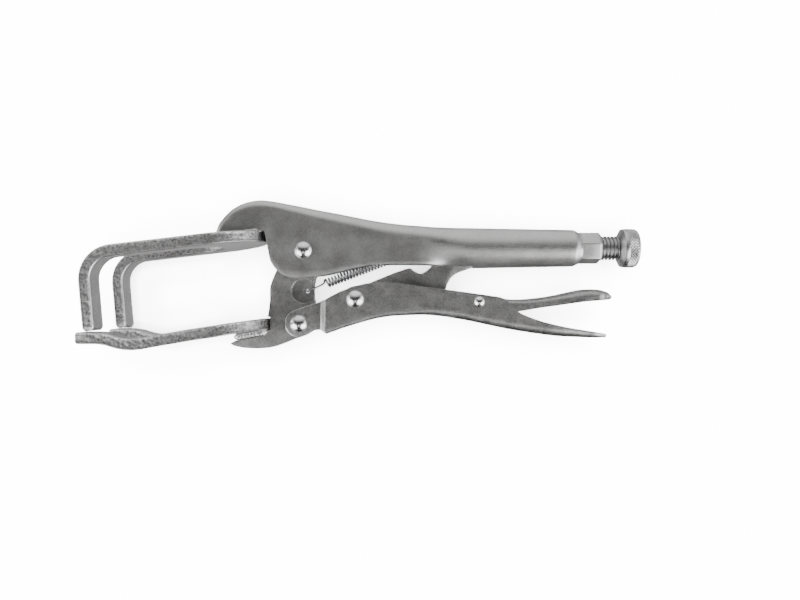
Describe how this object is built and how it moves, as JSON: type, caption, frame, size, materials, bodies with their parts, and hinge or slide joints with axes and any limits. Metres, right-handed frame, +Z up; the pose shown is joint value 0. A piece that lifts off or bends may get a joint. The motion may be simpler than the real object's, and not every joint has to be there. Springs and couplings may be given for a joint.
{
  "type": "locking welding clamp",
  "caption": "Locking toggle pliers with U-shaped forked jaws, a release lever and a knurled adjusting screw, for holding plates while welding.",
  "frame": {"origin": "on the surface the tool lies on, under the middle of its bounding box", "axes": "+X from the forks to the adjusting knob, +Y from the lower handle to the upper handle, +Z up along the pivots"},
  "size_m": [0.2232, 0.0606, 0.043],
  "materials": {
    "satin_nickel_shell": "satin nickel plate on pressed steel, finely mottled",
    "nickel_forging": "satin nickel plate on thick plate, blasted",
    "nickel_fork": "satin nickel plate, coarse sheared edges and smooth faces",
    "weld_bead": "plated weld bead",
    "bright_rivet": "bright domed heads",
    "spring_wire": "dark spring wire",
    "screw_steel": "plated thread with dark roots",
    "knurled_nickel": "bright plate with fine diamond knurl"
  },
  "bodies": {
    "frame": {"upper_handle": "satin_nickel_shell", "screw_nut": "satin_nickel_shell", "upper_fork": "nickel_fork", "upper_fork_welds": "weld_bead", "main_pivot_rivet": "bright_rivet", "jaw_spring": "spring_wire"},
    "jaw": {"lower_jaw": "nickel_forging", "lower_fork": "nickel_fork", "lower_fork_welds": "weld_bead"},
    "lower_grip": {"lower_handle": "satin_nickel_shell", "handle_pivot_rivet": "bright_rivet", "toggle_pivot_rivet": "bright_rivet", "release_lever_rivet": "bright_rivet"},
    "link": {"toggle_link": "nickel_forging"},
    "lever": {"release_lever": "satin_nickel_shell"},
    "screw_slide": {"screw_nose": "screw_steel"},
    "screw_turn": {"adjusting_screw": "screw_steel", "adjusting_knob": "knurled_nickel"}
  },
  "joints": [
    {"name": "jaw_pivot", "type": "hinge", "parent": "frame", "child": "jaw", "pos_m": [-0.02535, 0.0097, 0.0215], "axis": [0, 0, 1], "range_deg": [0, 25], "deforming": ["jaw_spring"]},
    {"name": "handle_pivot", "type": "hinge", "parent": "jaw", "child": "lower_grip", "pos_m": [-0.02725, -0.02, 0.0215], "axis": [0, 0, 1], "range_deg": [-76, 1]},
    {"name": "toggle_pivot", "type": "hinge", "parent": "lower_grip", "child": "link", "pos_m": [-0.00425, -0.0101, 0.0215], "axis": [0, 0, 1], "range_deg": [-1, 76]},
    {"name": "release_pivot", "type": "hinge", "parent": "lower_grip", "child": "lever", "pos_m": [0.04585, -0.0111, 0.0215], "axis": [0, 0, 1], "range_deg": [-8, 0]},
    {"name": "screw_travel", "type": "slide", "parent": "frame", "child": "screw_slide", "axis": [1, 0, 0], "range_m": [0, 0.012]},
    {"name": "screw_spin", "type": "hinge", "parent": "screw_slide", "child": "screw_turn", "pos_m": [0.10465, 0.0109, 0.0215], "axis": [1, 0, 0], "range_deg": [-10, 2890]}
  ],
  "couplings": [
    {"joint": "handle_pivot", "follows": "jaw_pivot", "ratio": -3},
    {"joint": "toggle_pivot", "follows": "jaw_pivot", "ratio": 3},
    {"joint": "screw_spin", "follows": "screw_travel", "rad_per_m": 4188.8}
  ]
}
